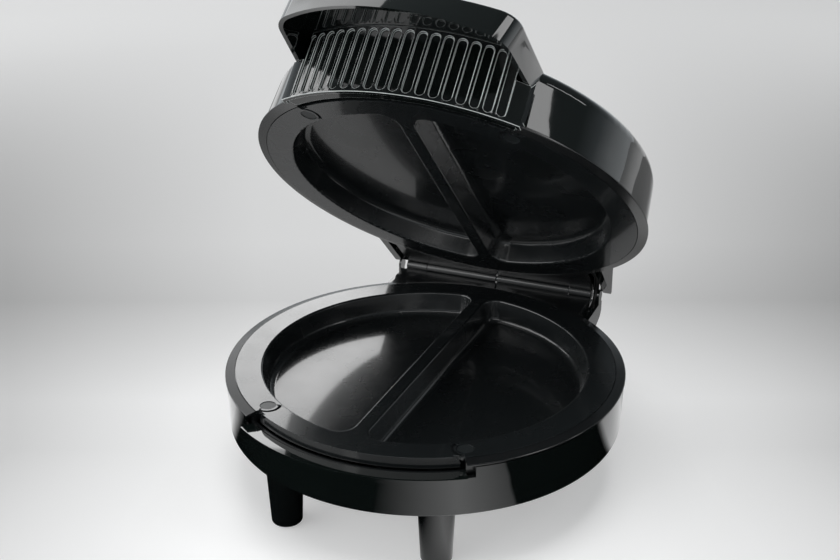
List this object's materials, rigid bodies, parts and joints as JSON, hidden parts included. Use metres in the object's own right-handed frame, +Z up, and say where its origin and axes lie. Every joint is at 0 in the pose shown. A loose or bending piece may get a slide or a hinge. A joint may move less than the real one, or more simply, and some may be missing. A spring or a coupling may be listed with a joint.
{
  "type": "electric omelette maker",
  "caption": "Electric omelette maker with two half-moon non-stick pans in each round glossy black housing, a ribbed grip under a front hood, a rear-hinged lid and tall round feet.",
  "frame": {"origin": "On the surface that the feet stand on, at the centre of the object's outline with the lid open as shown at rest", "axes": "+X along the hinge line to the right-hand side seen from the front, +Y from the front grip towards the rear hinge, +Z up"},
  "size_m": [0.2328, 0.261, 0.288],
  "materials": {
    "block_white": "natural nylon",
    "brass": "turned brass",
    "button_grey": "satin moulded plastic",
    "ceramic_white": "glazed ceramic look",
    "element_steel": "drawn steel sheath, heat-dulled",
    "foot_black": "moulded plastic, gloss",
    "fuse_white": "lacquered sleeve",
    "gloss_black": "moulded phenolic-look plastic, polished to a mirror gloss",
    "grip_black": "moulded plastic, gloss with slightly softer sheen",
    "lamp_glass": "clear glass",
    "lens_red": "clear tinted plastic",
    "nonstick": "die-cast aluminium with a black satin non-stick coating",
    "rubber_black": "matte black elastomer",
    "satin_black": "glass-filled heat-resistant plastic, satin",
    "screw_steel": "zinc-plated steel",
    "sheet_steel": "bright pressed sheet steel"
  },
  "bodies": {
    "base": {"base_casing": "gloss_black", "base_cooking_plate": "nonstick", "base_element_bushes": "ceramic_white", "base_element_straps": "sheet_steel", "base_frame": "satin_black", "base_heating_element": "element_steel", "base_plate_buttons": "button_grey", "base_reflector": "sheet_steel", "base_reflector_screws": "screw_steel", "base_screws": "screw_steel", "base_strap_screws": "screw_steel", "cord_gland": "rubber_black", "foot_front_left": "foot_black", "foot_front_right": "foot_black", "foot_pads": "rubber_black", "foot_rear_left": "foot_black", "foot_rear_right": "foot_black", "hinge_pin": "screw_steel", "interconnect_lead": "rubber_black", "terminal_block": "block_white", "terminal_screws": "brass", "thermal_fuse": "fuse_white", "thermostat": "ceramic_white"},
    "lid": {"grip_panel": "grip_black", "indicator_lenses": "lens_red", "lamp_holder": "block_white", "lid_casing": "gloss_black", "lid_cooking_plate": "nonstick", "lid_element_bushes": "ceramic_white", "lid_element_straps": "sheet_steel", "lid_frame": "satin_black", "lid_heating_element": "element_steel", "lid_plate_buttons": "button_grey", "lid_reflector": "sheet_steel", "lid_reflector_screws": "screw_steel", "lid_screws": "screw_steel", "lid_strap_screws": "screw_steel", "neon_lamps": "lamp_glass"}
  },
  "joints": [
    {"name": "lid_hinge", "type": "hinge", "parent": "base", "child": "lid", "pos_m": [0, 0.11738, 0.06665], "axis": [-1, 0, 0], "range_deg": [-44, 56], "deforming": ["interconnect_lead"]}
  ]
}
